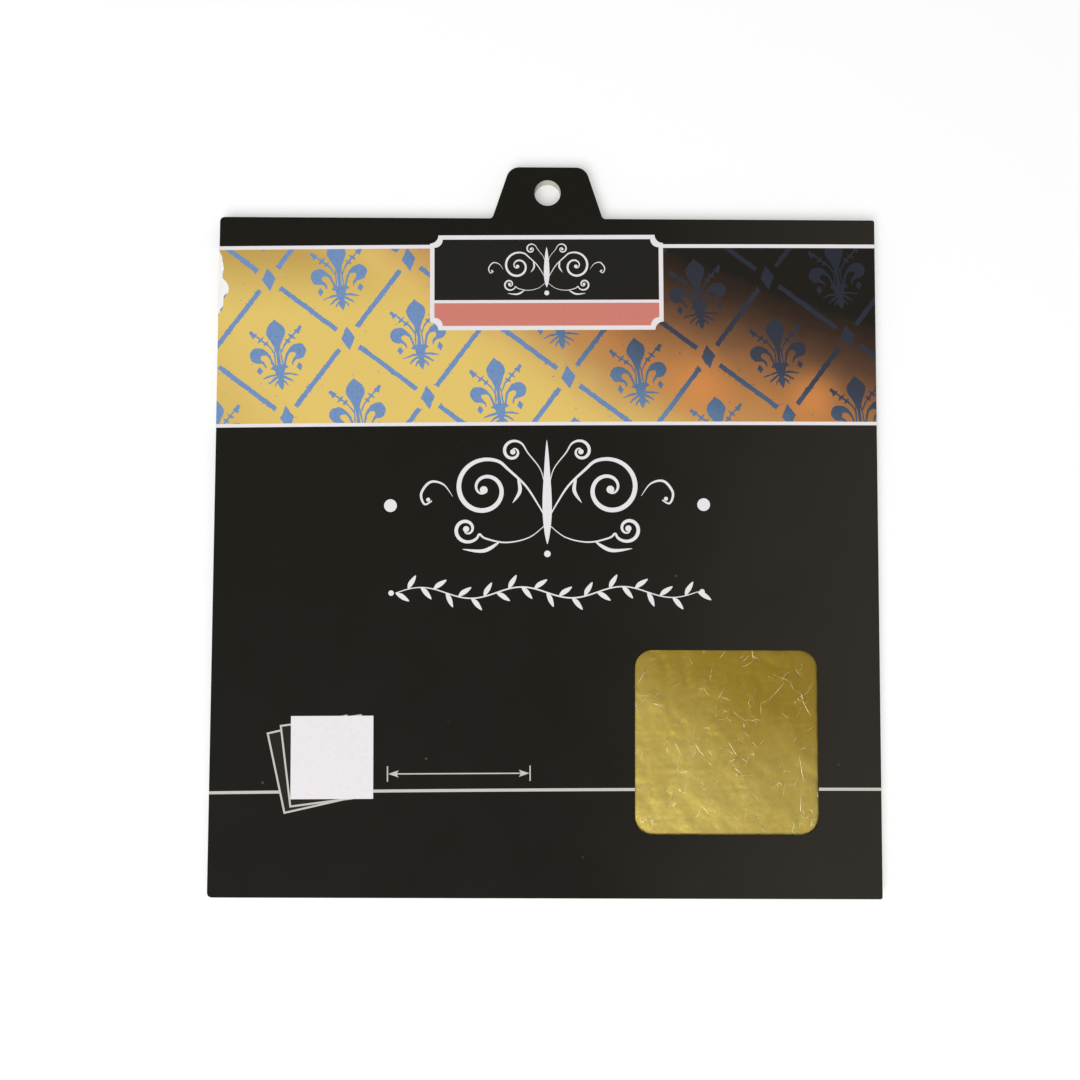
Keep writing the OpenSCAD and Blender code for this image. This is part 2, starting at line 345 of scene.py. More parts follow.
def ground_finish(name):
    recipe = Recipe(name)
    colour = ground_colour(recipe, bpy.context.scene.booklet_print)
    grain = recipe.grain(0.0004, 3.0)
    return recipe.finished(grain, 0.000010, 0.4, Base_Color=colour, Roughness=0.5, Specular_IOR_Level=0.14)


def pattern_finish(name):
    ink = bpy.context.scene.booklet_print
    recipe = Recipe(name)
    stops = [(20, ink.blue), (31, [0.9 * part for part in ink.blue]), (38, ink.steel), (44, ink.slate)]
    stops += [(51, ink.iron), (58, ink.dusk), (74, [0.6 * part for part in ink.dusk])]
    dry = recipe.step(recipe.grain(0.0007, 4.0), 0.42, 0.72) * 0.14
    colour = recipe.blend(dry, recipe.ramp(band_depth(recipe), 18.0, 76.0, stops), (0.012, 0.012, 0.014))
    grain = recipe.grain(0.0005, 3.0)
    return recipe.finished(grain, 0.000010, 0.4, Base_Color=colour, Roughness=0.52, Specular_IOR_Level=0.14)


def plain_ink(name):
    """A plain ink, broken a little by the board below it and made at its first use."""
    known = bpy.data.materials.get(f"{name}_ink")
    if known:
        return known
    scene = bpy.context.scene
    recipe = Recipe(f"{name}_ink")
    colour = scene.booklet_card.black if name == "black" else getattr(scene.booklet_print, name)
    colour = recipe.toned(recipe.step(recipe.grain(0.0009, 5.0), 0.45, 0.85), colour, 0.93)
    grain = recipe.grain(0.0004, 3.0)
    return recipe.finished(grain, 0.000008, 0.4, Base_Color=colour, Roughness=0.55, Specular_IOR_Level=0.14)


def leaf_finish(name, window):
    """Beaten leaf: a painted run of light and shade behind the window, and slow clouds elsewhere."""
    leaf = bpy.context.scene.booklet_leaf
    recipe = Recipe(name)
    if window:
        # painted light and shade: brighter towards the lower left, a painted shaded patch at the top right and a
        # painted bright patch low in the window, broken by random clouds
        run = recipe.along(-0.357, -0.787, 21.4) + (recipe.grain(0.016, 5.0) - 0.5) * 34.0
        run = run - recipe.near(47.0, -32.0, 24.0) * 12.0 + recipe.near(33.0, -55.0, 12.0) * 7.4
        shine, gain = recipe.step(run, -22.0, 24.0), 1.0
    else:
        shine, gain = recipe.step(recipe.grain(0.045, 4.0), 0.3, 0.7), 1.3
    colour = recipe.blend(shine, [gain * part for part in leaf.deep], [gain * part for part in leaf.light])
    fine = recipe.grain(0.0011, 5.0)
    colour = recipe.blend(recipe.step(fine, 0.5, 0.85) * 0.2, colour, leaf.light)
    fold = recipe.most(recipe.hairlines(0.0135, 0.010, 0.016, 0.0063), recipe.hairlines(0.0061, 0.013, 0.009, 0.0047))
    # painted highlights along the hairline creases
    colour = recipe.blend(fold * 0.32, colour, leaf.wrinkle)
    height = fine * 0.2 + (recipe.grain(0.005, 4.0) + fold * 0.25)
    return recipe.finished(height, 0.00018, 0.6, Base_Color=colour, Metallic=1.0, Roughness=0.36)


def glint_finish(name):
    leaf = bpy.context.scene.booklet_leaf
    recipe = Recipe(name)
    # painted highlight: the raised wrinkles and sparkles are coloured between bright leaf and the glint colour
    colour = recipe.blend(recipe.step(recipe.grain(0.0016, 4.0), 0.38, 0.62), leaf.light, leaf.wrinkle)
    return recipe.finished(recipe.grain(0.0006, 2.0), 0.00003, 0.5, Base_Color=colour, Metallic=1.0, Roughness=0.3)


def tissue_finish(name):
    recipe = Recipe(name)
    fibre = recipe.grain(0.0009, 6.0, (1.0, 0.3, 1.0))
    colour = recipe.blend(recipe.step(fibre, 0.3, 0.8), (0.86, 0.835, 0.78), (0.80, 0.77, 0.71))
    colour = recipe.blend(recipe.step(recipe.grain(0.012, 3.0), 0.45, 0.7) * 0.4, colour, (0.84, 0.80, 0.72))
    ripple = fibre * 0.08 + recipe.grain(0.014, 2.0, (0.5, 1.0, 1.0))
    return recipe.finished(ripple, 0.0005, 0.35, Base_Color=colour, Roughness=0.82, Specular_IOR_Level=0.3)


def film_finish(name):
    recipe = Recipe(name)
    return recipe.finished(
        recipe.grain(0.012, 2.0), 0.0002, 0.25,
        Base_Color=(0.50, 0.52, 0.54), Roughness=0.06, IOR=1.49, Alpha=0.014, Specular_IOR_Level=0.8)


def gum_finish(name, colour, alpha):
    recipe = Recipe(name)
    lumps = recipe.grain(0.0016, 3.0)
    colour = recipe.toned(lumps, colour, 0.86)
    return recipe.finished(lumps, 0.0001, 0.5, Base_Color=colour, Roughness=0.28, Alpha=alpha, IOR=1.48)


def wire_finish(name):
    recipe = Recipe(name)
    draw = recipe.grain(0.0004, 4.0, (1.0, 0.12, 1.0))
    tarnish = recipe.step(recipe.grain(0.0021, 4.0), 0.48, 0.74)
    colour = recipe.blend(tarnish, (0.70, 0.70, 0.71), (0.50, 0.49, 0.47))
    return recipe.finished(draw, 0.00002, 0.5, Base_Color=colour, Metallic=1.0, Roughness=0.24 + draw * 0.2)


def spline(points, closed=False, steps=8):
    """A smooth path through the points."""
    count = len(points)
    path = []
    for i in range(count if closed else count - 1):
        near = [(i + k) % count if closed else min(max(i + k, 0), count - 1) for k in (-1, 0, 1, 2)]
        a, b, c, d = (np.array(points[k], float) for k in near)
        square, cube = 2 * a - 5 * b + 4 * c - d, 3 * b - a - 3 * c + d
        path += [0.5 * ((2 * b) + (c - a) * t + square * t**2 + cube * t**3) for t in np.arange(steps) / steps]
    if not closed:
        path.append(np.array(points[-1], float))
    return path


def stroke(points, width, start=0.15, end=0.1, swell=0.5, steps=8):
    """The outline of a pen stroke: thin at both ends and thickest at swell of its length."""
    path = np.array(spline(points, steps=steps))
    ahead = np.gradient(path, axis=0)
    ahead /= np.linalg.norm(ahead, axis=1)[:, None] + 1e-9
    side = np.stack([-ahead[:, 1], ahead[:, 0]], axis=1)
    run = np.linspace(0, 1, len(path))
    rising = start + (1 - start) * np.sin(run / swell * math.pi / 2)
    falling = end + (1 - end) * np.sin((1 - run) / (1 - swell) * math.pi / 2)
    half = (width / 2 * np.where(run < swell, rising, falling))[:, None]
    one, two = path + side * half, path - side * half
    return [list(map(tuple, two)) + list(map(tuple, one[::-1]))]


def curl(middle, radius, inner, begin, turn, steps=26):
    """Points of a spiral from its outer radius to its inner one, angles in degrees."""
    run = np.linspace(0, 1, steps)
    angle = np.radians(begin + turn * run)
    size = radius + (inner - radius) * run
    return [(middle[0] + s * math.cos(a), middle[1] + s * math.sin(a)) for s, a in zip(size, angle)]


def disc(x, y, radius, sides=28):
    angles = (2 * math.pi * i / sides for i in range(sides))
    return [(x + radius * math.cos(a), y + radius * math.sin(a)) for a in angles]


def plate(left, low, right, high):
    return [(left, low), (right, low), (right, high), (left, high)]


def mirrored(outlines):
    return outlines + [[(-x, y) for x, y in reversed(outline)] for outline in outlines]


def turned(outlines, angle, about=(0.0, 0.0)):
    """Outlines turned by an angle in radians."""
    c, s = math.cos(angle), math.sin(angle)

    def place(x, y):
        x, y = x - about[0], y - about[1]
        return about[0] + c * x - s * y, about[1] + s * x + c * y

    return [[place(x, y) for x, y in outline] for outline in outlines]


def moved(outlines, across, up, size=1.0):
    return [[(across + size * x, up + size * y) for x, y in outline] for outline in outlines]


def rule_height(level, x):
    """Where a rule at this level lies: the print is a little turned and bowed on the card."""
    return level + PRINT_TILT * x + PRINT_BOW * x * x


def strip(low, high, left, right, steps=40):
    xs = np.linspace(left, right, steps + 1)
    return [[(x, rule_height(low, x)) for x in xs] + [(x, rule_height(high, x)) for x in xs[::-1]]]


def rule(level, width, left, right, steps=40):
    return strip(level - width / 2, level + width / 2, left, right, steps)


def coat(mesh, material):
    mesh.materials.clear()
    mesh.materials.append(material)


def dress(material, *names):
    """Gives CAD nodes that keep their own shape a finish."""
    for name in names:
        coat(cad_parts[name].data, material)


def adopt(name, mesh, material, body):
    """Names a finished mesh, gives it its material and makes it ride on its body."""
    mesh.name = name
    coat(mesh, material)
    piece = bpy.data.objects.new(name, mesh)
    bpy.context.scene.collection.objects.link(piece)
    if body:
        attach(piece, body)
    return piece


def flat_mesh(outlines):
    """Flat faces, each a hair above the one before, so that shapes may cross."""
    bm = bmesh.new()
    for number, outline in enumerate(outlines):
        bm.faces.new([bm.verts.new((x * MM, y * MM, number % CROSSING_LEVELS * CROSSING)) for x, y in outline])
    return bm


def motif(name, outlines):
    """A flat shape for a tree to repeat."""
    mesh = bpy.data.meshes.new(name)
    bm = flat_mesh(outlines)
    bm.to_mesh(mesh)
    bm.free()
    shape = bpy.data.objects.new(name, mesh)
    bpy.context.scene.collection.objects.link(shape)
    return shape


def cut(bm, place, outward, drop=True):
    """Cuts a mesh by a plane, and drops what lies outward of it."""
    parts = bm.verts[:] + bm.edges[:] + bm.faces[:]
    bmesh.ops.bisect_plane(bm, geom=parts, plane_co=place, plane_no=outward, clear_outer=drop)


def wrap_over_fold(bm):
    """Leads the part of a layer that passes the fold round its corner and down the spine."""
    for step in range(FOLD_FACETS + 1):
        cut(bm, ((FOLD_X - CORNER_RUN * step / FOLD_FACETS) * MM, 0, 0), (1, 0, 0), drop=False)
    for vert in bm.verts:
        run = FOLD_X - vert.co.x / MM
        if run > 0:
            out = FOLD_R + (vert.co.z / MM - FACE)
            angle = min(run / FOLD_R, math.pi / 2)
            vert.co.x = (FOLD_X - out * math.sin(angle)) * MM
            vert.co.z = (FOLD_Z + out * math.cos(angle) - max(run - CORNER_RUN, 0)) * MM


def cut_up(bm):
    """Splits the faces that have more than four corners into triangles."""
    bmesh.ops.triangulate(bm, faces=[face for face in bm.faces if len(face.verts) > 4], ngon_method="EAR_CLIP")


def raise_layer(bm, name, level, material, body="cover", merge=MERGE):
    """Turns flat faces into one closed layer of ink, level layers above the card."""
    ink = bpy.context.scene.booklet_print.layer / MM
    low = FACE + PRINT_GAP + level * ink
    bmesh.ops.remove_doubles(bm, verts=bm.verts, dist=merge)
    cut_up(bm)
    bmesh.ops.recalc_face_normals(bm, faces=bm.faces)
    for vert in bm.verts:
        vert.co.z += low * MM
    made = bmesh.ops.extrude_face_region(bm, geom=bm.faces[:])
    for vert in [item for item in made["geom"] if isinstance(item, bmesh.types.BMVert)]:
        vert.co.z += ink * MM
    if min(vert.co.x for vert in bm.verts) < FOLD_X * MM:
        wrap_over_fold(bm)
    bmesh.ops.recalc_face_normals(bm, faces=bm.faces)
    mesh = bpy.data.meshes.new(name)
    bm.to_mesh(mesh)
    bm.free()
    return adopt(name, mesh, material, body)


def ink_layer(name, outlines, level, material):
    """A printed shape, turned with the whole print."""
    return raise_layer(flat_mesh(turned(outlines, PRINT_TILT)), name, level, material)


def print_round_fold(flat, name, level, material, merge=MERGE):
    """A print that runs over the fold: one layer on the front and its corner, one on the spine."""
    edge = ((FOLD_X - CORNER_RUN) * MM, 0, 0)
    spine = flat.copy()
    cut(flat, edge, (-1, 0, 0))
    cut(spine, edge, (1, 0, 0))
    cut(spine, ((FOLD_X - SPINE_RUN) * MM, 0, 0), (-1, 0, 0))
    raise_layer(flat, name, level, material, merge=merge)
    if spine.faces:
        raise_layer(spine, name + "_on_spine", level, material, "block_and_back", merge)


class Tree(Wiring):
    """A Geometry Nodes tree with named inputs."""

    def __init__(self, name):
        super().__init__(bpy.data.node_groups.new(name, "GeometryNodeTree"))
        for way in ("INPUT", "OUTPUT"):
            self.tree.interface.new_socket(name="Geometry", in_out=way, socket_type="NodeSocketGeometry")
        self.start = self.node("NodeGroupInput")
        self.values = {}

    def input(self, name, kind, value):
        self.tree.interface.new_socket(name=name, in_out="INPUT", socket_type="NodeSocket" + kind)
        self.values[name] = value
        return Term(self, self.start.outputs[name])

    def vector(self, operation, *values):
        made = self.node("ShaderNodeVectorMath", operation=operation)
        for socket, value in zip([socket for socket in made.inputs if socket.enabled], values):
            self.put(socket, value)
        return Term(self, made.outputs[0])

    def chance(self, low, high, seed):
        """A random vector between two others."""
        given = {"Min": low, "Max": high, "Seed": seed}
        return self.make("FunctionNodeRandomValue", given, data_type="FLOAT_VECTOR")

    def shift(self, geometry, offset):
        return self.make("GeometryNodeSetPosition", {"Geometry": geometry, "Offset": offset})

    def facing(self, way):
        return self.make("FunctionNodeAlignRotationToVector", {"Vector": way}, axis="X")

    def repeat(self, points, shape, **given):
        return self.make("GeometryNodeInstanceOnPoints", {"Points": points, "Instance": shape, **given})

    def wander(self, geometry, amount, size, seed):
        """Moves points sideways by a fixed noise."""
        place = self.vector("ADD", self.make("GeometryNodeInputPosition"), (seed * 0.37, seed * 0.11, 0.0))
        given = {"Vector": place, "Scale": self.sum("DIVIDE", 1.0, size), "Detail": 1.0}
        noise = self.make("ShaderNodeTexNoise", given, "Color")
        offset = self.vector("MULTIPLY", self.vector("SUBTRACT", noise, (0.5, 0.5, 0.5)), (2.0, 2.0, 0.0))
        return self.shift(geometry, self.vector("SCALE", offset, amount))

    def grow(self, geometry, material, mesh=None):
        """Ends the tree, runs it on a mesh and returns the result as a plain mesh."""
        solid = self.make("GeometryNodeRealizeInstances", {"Geometry": geometry})
        finish = self.make("GeometryNodeSetMaterial", {"Geometry": solid, "Material": material})
        self.node("NodeGroupOutput", {0: finish})
        carrier = bpy.data.objects.new("carrier", mesh or bpy.data.meshes.new("carrier"))
        bpy.context.scene.collection.objects.link(carrier)
        modifier = carrier.modifiers.new("grow", "NODES")
        modifier.node_group = self.tree
        for item in self.tree.interface.items_tree:
            if item.in_out == "INPUT" and item.name in self.values:
                modifier[item.identifier] = self.values[item.name]
        carrier.update_tag()
        seen = carrier.evaluated_get(bpy.context.evaluated_depsgraph_get())
        result = bpy.data.meshes.new_from_object(seen)
        carrier.modifiers.remove(modifier)
        bpy.data.objects.remove(carrier)
        return result


FLEUR_PETAL = [
    (0, 8.1), (0.42, 7.62), (1.14, 7.02), (1.81, 6.28), (2.16, 5.45), (2.14, 4.65), (1.8, 3.86), (1.36, 3.06),
    (0.95, 2.2), (0.62, 1.3), (0.4, 0.4), (0.36, -0.8), (0.42, -2.7),
]
FLEUR_SIDE = [
    (1.1, -2.7), (1.36, -1.4), (1.7, -0.35), (2.37, 0.62), (3.25, 1.5), (4.25, 1.83), (5.3, 1.77), (6.05, 1.2),
    (6.45, 0.25), (6.25, -0.65), (5.75, -1.35), (5.1, -1.66), (4.4, -1.7), (3.82, -1.88), (3.42, -2.3), (3.1, -3.0),
    (2.93, -2.82), (3.02, -2.1), (3.4, -1.45), (3.8, -1.05), (3.99, -0.6), (3.92, -0.2), (3.6, 0), (3.2, 0.02),
    (2.6, -0.14), (2.16, -0.72), (1.86, -1.45), (1.66, -2.15), (1.5, -2.75),
]
FLEUR_KNOT = [
    (0, -2.5), (1.45, -2.56), (2.08, -3.3), (1.5, -3.5), (1.2, -3.66), (0.95, -4.7), (0.55, -5.75), (0.72, -6.9),
    (0.42, -7.7), (0, -8.44),
]


def fleur_outlines():
    """The lily of a fleur-de-lis diaper, upright, in millimetres."""
    petal = FLEUR_PETAL + [(-x, y) for x, y in reversed(FLEUR_PETAL[1:])]
    knot = FLEUR_KNOT + [(-x, y) for x, y in reversed(FLEUR_KNOT[1:-1])]
    half = [[tuple(p) for p in spline(FLEUR_SIDE, closed=True, steps=3)]]
    half.append([(4.54, -2.42), (5.24, -3.3), (4.66, -4.4), (3.84, -3.55)])
    arrow = [(0.85, 0.2), (1.5, 1.5), (2.35, 2.55), (3.28, 3.4), (4.35, 4.4), (4.9, 4.85)]
    half += stroke(arrow, 0.4, 0.7, 0.9, steps=3)
    half.append([(4.2, 5.0), (4.9, 5.3), (5.5, 6.0), (6.05, 5.55), (5.55, 4.75), (5.35, 4.0), (4.75, 4.4)])
    for (x, y), reach in (((3.5, 3.6), 1.05), ((2.45, 2.65), 0.75)):
        barb = [(-reach * 0.8, reach * 0.75), (-0.42, 0.12), (-0.22, -0.28), (0.1, -0.42)]
        barb += [(reach * 0.85, -reach * 0.7), (0.5, 0.02), (0.18, 0.32), (-0.1, 0.42)]
        half += moved([barb], x, y)
    half += stroke([(0.7, -4.75), (2.2, -4.85), (4.1, -5.35)], 0.5, 0.9, 0.35, 0.3, steps=4)
    half += stroke([(0.5, -5.3), (1.5, -5.75), (2.75, -6.75)], 0.54, 0.9, 0.45, 0.3, steps=4)
    half += stroke([(0.45, -6.1), (1.1, -6.75), (1.5, -7.5)], 0.42, 0.9, 0.45, 0.3, steps=3)
    half += stroke([(0.62, 1.2), (0.74, -0.6), (0.86, -2.6)], 0.34, 0.5, 0.95, steps=3)
    return [petal, knot] + mirrored(half)


class BOOKLET_OT_card(bpy.types.Operator):
    """Gives the folded cover its black print, pale cut edges and bare board inside"""
    bl_idname = "booklet.card"
    bl_label = "Finish the card"

    def execute(self, context):
        dress(card_finish("black_printed_card"), "front_cover", "back_cover", "spine_panel")
        return {"FINISHED"}


class BOOKLET_OT_band(bpy.types.Operator):
    """Prints the gold ground and the white rules"""
    bl_idname = "booklet.band"
    bl_label = "Print the band and rules"

    def execute(self, context):
        ink = context.scene.booklet_print
        left, right = FOLD_X - SPINE_RUN - 1, RIGHT - 0.02
        ground = strip(LOW_RULE, TOP_RULE, left, right, 60)
        print_round_fold(flat_mesh(ground), "band_ground", 0, ground_finish("band_gold"))
        wide = ink.rule / MM
        rules = rule(TOP_RULE, wide, left, right) + rule(LOW_RULE, wide * 0.94, left, right)
        print_round_fold(flat_mesh(rules), "band_rules", 3, plain_ink("white"))
        lines = []
        for begin, end, steps in ((left, -59.0, 10), (-38.9, HOLLOW[0] - 0.05, 20), (HOLLOW[1] + 0.05, right, 6)):
            lines += rule(FOOT_RULE, ink.foot_rule / MM, begin, end, steps)
        print_round_fold(flat_mesh(lines), "foot_rule", 0, plain_ink("pale"))
        return {"FINISHED"}


WORN_EDGE = [
    (-74.66, 62.43), (-74.12, 60.43), (-73.91, 59.37), (-73.89, 58.44), (-74.11, 57.50), (-73.94, 56.44),
    (-73.06, 55.38), (-72.68, 54.59), (-72.60, 53.79), (-72.98, 52.99), (-73.74, 52.39), (-73.76, 51.13),
    (-73.90, 50.07), (-74.38, 49.40), (-74.68, 48.47),
]


class BOOKLET_OT_wear(bpy.types.Operator):
    """Wears the print through to the bare board along the fold"""
    bl_idname = "booklet.wear"
    bl_label = "Wear the fold"

    def execute(self, context):
        rng = np.random.default_rng(4)
        inner = [(x + 0.06 * rng.standard_normal(), y) for x, y in spline(WORN_EDGE, steps=4)]
        outer = FOLD_X - CORNER_RUN - 0.01
        patch = [(outer, inner[0][1] + 0.3)] + inner + [(outer, inner[-1][1] - 0.3)]
        print_round_fold(flat_mesh([patch]), "worn_fold", 4.2, board_finish("bare_board"))
        return {"FINISHED"}


def bars_along(tree, crossings, way, grid, drop, splinters):
    """The bars halfway along one step of the diaper, and the splinters of ink beside them."""
    middles = tree.shift(crossings, tree.vector("SCALE", way, 0.5))
    bars = tree.repeat(middles, tree.make("GeometryNodeMeshGrid", grid), Rotation=tree.facing(way))
    bars = tree.make("GeometryNodeRealizeInstances", {"Geometry": bars})
    draw = {"Probability": splinters, "Seed": 23}
    chosen = tree.make("FunctionNodeRandomValue", draw, 3, data_type="BOOLEAN")
    size = tree.chance((0.00022, 0.00005, 1.0), (0.00056, 0.00013, 1.0), 29)
    spin = tree.chance((0.0, 0.0, 0.0), (0.0, 0.0, 6.283), 31)
    chips = tree.repeat(bars, drop, Selection=chosen, Rotation=spin, Scale=size)
    lifted = {"Geometry": chips, "Translation": (0.0, 0.0, 0.0000012)}
    return [bars, tree.make("GeometryNodeTransform", lifted)]


class BOOKLET_OT_diaper(bpy.types.Operator):
    """Prints the blue fleur-de-lis diaper on the band"""
    bl_idname = "booklet.diaper"
    bl_label = "Print the diaper"

    def execute(self, context):
        ink = context.scene.booklet_print
        lily = motif("lily", fleur_outlines())
        blue = pattern_finish("pattern_blue")
        tree = Tree("diaper print")
        rows = tree.input("Rows", "Int", 16)
        first = tree.input("First crossing", "Vector", (-0.063577, 0.056273, 0.0))
        across = tree.input("Step down the band", "Vector", (0.018286, -0.013489, 0.0))
        up = tree.input("Step up the band", "Vector", (0.013583, 0.018320, 0.0))
        bar_length = tree.input("Bar length", "Float", ink.bar_length)
        bar_width = tree.input("Bar width", "Float", ink.bar_width)
        wide = tree.input("Lozenge width", "Float", ink.lozenge_width)
        high = tree.input("Lozenge height", "Float", ink.lozenge_height)
        lean = tree.input("Lean", "Float", math.radians(7.4))
        rough = tree.input("Rough edge", "Float", ink.rough_edge)
        shape = tree.input("Motif", "Object", lily)
        flecks = tree.input("Flecks", "Int", ink.flecks)
        splinters = tree.input("Splinters", "Float", 0.11)
        finish = tree.input("Ink", "Material", blue)
        index = tree.make("GeometryNodeInputIndex")
        row = tree.sum("FLOOR", index / rows) - 4.0
        column = tree.sum("MODULO", index, rows) - 5.0
        steps = tree.vector("ADD", tree.vector("SCALE", across, row), tree.vector("SCALE", up, column))
        place = tree.vector("ADD", first, steps)
        crossings = tree.make("GeometryNodePoints", {"Count": rows * rows, "Position": place})
        drop = tree.make("GeometryNodeMeshCircle", {"Vertices": 7, "Radius": 1.0}, fill_type="NGON")
        grid = {"Size X": bar_length, "Size Y": bar_width, "Vertices X": 40, "Vertices Y": 3}
        parts = []
        for way in (across, up):
            parts += bars_along(tree, crossings, way, grid, drop, splinters)
        leaning = tree.make("ShaderNodeCombineXYZ", {"Z": lean})
        diamond = tree.make("GeometryNodeMeshCircle", {"Vertices": 4, "Radius": 0.5}, fill_type="NGON")
        diamond = tree.make("GeometryNodeSubdivideMesh", {"Mesh": diamond, "Level": 3})
        size = tree.make("ShaderNodeCombineXYZ", {"X": wide, "Y": high, "Z": 1.0})
        parts.append(tree.repeat(crossings, diamond, Rotation=leaning, Scale=size))
        lilies = tree.make("GeometryNodeObjectInfo", {"Object": shape}, "Geometry")
        centre = tree.vector("ADD", tree.vector("SCALE", across, 0.535), tree.vector("SCALE", up, 0.456))
        parts.append(tree.repeat(tree.shift(crossings, centre), lilies, Rotation=leaning))
        spots = {"Count": flecks, "Position": tree.chance((-0.076, 0.022, 0.000009), (0.076, 0.066, 0.000009), 11)}
        size = tree.chance((0.00005, 0.00005, 1.0), (0.00021, 0.00017, 1.0), 5)
        parts.append(tree.repeat(tree.make("GeometryNodePoints", spots), drop, Scale=size))
        joined = tree.node("GeometryNodeJoinGeometry")
        for part in parts:
            tree.put(joined.inputs[0], part)
        solid = tree.make("GeometryNodeRealizeInstances", {"Geometry": joined.outputs[0]})
        ragged = tree.wander(tree.wander(solid, rough, 0.0011, 3), rough * 0.7, 0.00045, 8)
        bm = bmesh.new()
        bm.from_mesh(tree.grow(ragged, finish))
        bpy.data.objects.remove(lily)
        cut_up(bm)
        cut(bm, (RIGHT * MM - 0.00003, 0, 0), (1, 0, 0))
        cut(bm, (0, TOP_RULE * MM, 0), (-PRINT_TILT, 1, 0))
        cut(bm, (0, LOW_RULE * MM, 0), (PRINT_TILT, -1, 0))
        print_round_fold(bm, "band_diaper", 1, blue, merge=1e-9)
        return {"FINISHED"}


def scrollwork():
    """One side of a plain penwork scroll, its root at the origin."""
    main = [(0.2, -3.0), (2.2, 0.6), (5.2, 5.2), (9.4, 9.2)] + curl((15.2, 4.4), 7.6, 1.0, 118, -560)
    low = [(0.3, -4.2), (4.4, -7.4), (10.0, -8.6), (15.0, -7.6)] + curl((19.6, -5.4), 3.4, 0.7, 200, 470)
    top = [(0.4, 4.5), (1.6, 9.2), (4.6, 13.2)] + curl((8.2, 13.6), 2.9, 0.6, 150, -430)
    tail = [(22.9, 2.6), (25.2, 5.6), (28.4, 6.2), (30.6, 3.4), (29.8, 0.8), (28.0, 1.6)]
    shapes = stroke(main, 1.15, 0.2, 0.28, 0.35, 5) + stroke(low, 0.85, 0.2, 0.3, 0.4, 5)
    shapes += stroke(top, 0.75, 0.2, 0.3, 0.4, 5) + stroke(tail, 0.6, 0.1, 0.5, 0.5, 6)
    shapes += stroke([(11.5, -8.4), (15.4, -10.6), (20.6, -10.2)], 0.9, 0.1, 0.1, 0.4, 6)
    shapes += stroke([(7.2, 7.4), (6.6, 4.0), (8.4, 1.0)], 0.9, 0.1, 0.05, 0.45, 6)
    eyes = ((15.4, 4.2, 0.95, 18), (19.7, -5.3, 0.75, 16), (8.3, 13.5, 0.65, 16), (28.9, 1.9, 0.5, 12))
    return shapes + [disc(*eye) for eye in eyes]


class BOOKLET_OT_penwork(bpy.types.Operator):
    """Prints the plain penwork scroll, its row of leaves and the two dots"""
    bl_idname = "booklet.penwork"
    bl_label = "Print the penwork"

    def execute(self, context):
        white = plain_ink("white")
        bud = stroke([(0, -9.0), (0, -2.0), (0, 6.0), (0, 16.4)], 2.3, 0.05, 0.03, 0.42, 8)
        shapes = mirrored(scrollwork()) + bud + [disc(0, -11.4, 0.8, 18)]
        ink_layer("penwork_scroll", moved(shapes, 0.2, 4.4, 0.93), 0, white)
        ink_layer("front_dots", [disc(-35.2, 4.85, 1.45), disc(35.6, 4.8, 1.45)], 0, white)
        stem = [(x, -14.9 + 1.25 * math.sin((x + 34) / 68 * 6 * math.pi)) for x in np.linspace(-34, 34, 37)]
        blade = spline([(0, 0), (1.1, 0.62), (2.4, 0.5), (3.6, 0), (2.4, -0.42), (1.1, -0.4)], closed=True, steps=4)
        leaf = motif("small_leaf", [[tuple(p) for p in blade]])
        line = bpy.data.meshes.new("stem_line")
        line.from_pydata([(x * MM, y * MM, 0) for x, y in stem], [(i, i + 1) for i in range(len(stem) - 1)], [])
        tree = Tree("leafy row")
        count = tree.input("Leaves", "Int", 25)
        angle = tree.input("Leaf angle", "Float", math.radians(48))
        shape = tree.input("Leaf", "Object", leaf)
        finish = tree.input("Ink", "Material", white)
        path = tree.make("GeometryNodeMeshToCurve", {"Mesh": tree.start.outputs[0]})
        dots = tree.make("GeometryNodeResampleCurve", {"Curve": path, "Count": count})
        side = tree.sum("MODULO", tree.make("GeometryNodeInputIndex"), 2.0) * 2.0 - 1.0
        tip = tree.make("ShaderNodeCombineXYZ", {"Z": side * angle})
        tip = tree.make("FunctionNodeEulerToRotation", {"Euler": tip})
        turns = {"Rotation": tree.facing(tree.make("GeometryNodeInputTangent")), "Rotate By": tip}
        both = tree.make("FunctionNodeRotateRotation", turns, rotation_space="LOCAL")
        shape = tree.make("GeometryNodeObjectInfo", {"Object": shape}, "Geometry")
        bm = bmesh.new()
        bm.from_mesh(tree.grow(tree.repeat(dots, shape, Rotation=both), finish, line))
        bpy.data.objects.remove(leaf)
        bmesh.ops.rotate(bm, verts=bm.verts, cent=(0, 0, 0), matrix=Matrix.Rotation(PRINT_TILT, 3, "Z"))
        raise_layer(bm, "leafy_row", 0, white)
        ends = [disc(-35.0, stem[0][1], 0.62, 16), disc(35.0, stem[-1][1], 0.62, 16)]
        ink_layer("leafy_stem", stroke(stem, 0.34, 0.6, 0.6, 0.5, 3) + ends, 1.2, white)
        return {"FINISHED"}


def notched_plate(left, low, right, high, notch):
    """A rectangle whose corners are cut in by quarter circles."""
    outline = []
    for cx, cy, begin in ((left, low, 90), (right, low, 180), (right, high, 270), (left, high, 0)):
        for i in range(9):
            a = math.radians(begin - i * 90 / 8)
            outline.append((cx + notch * math.cos(a), cy + notch * math.sin(a)))
    return outline


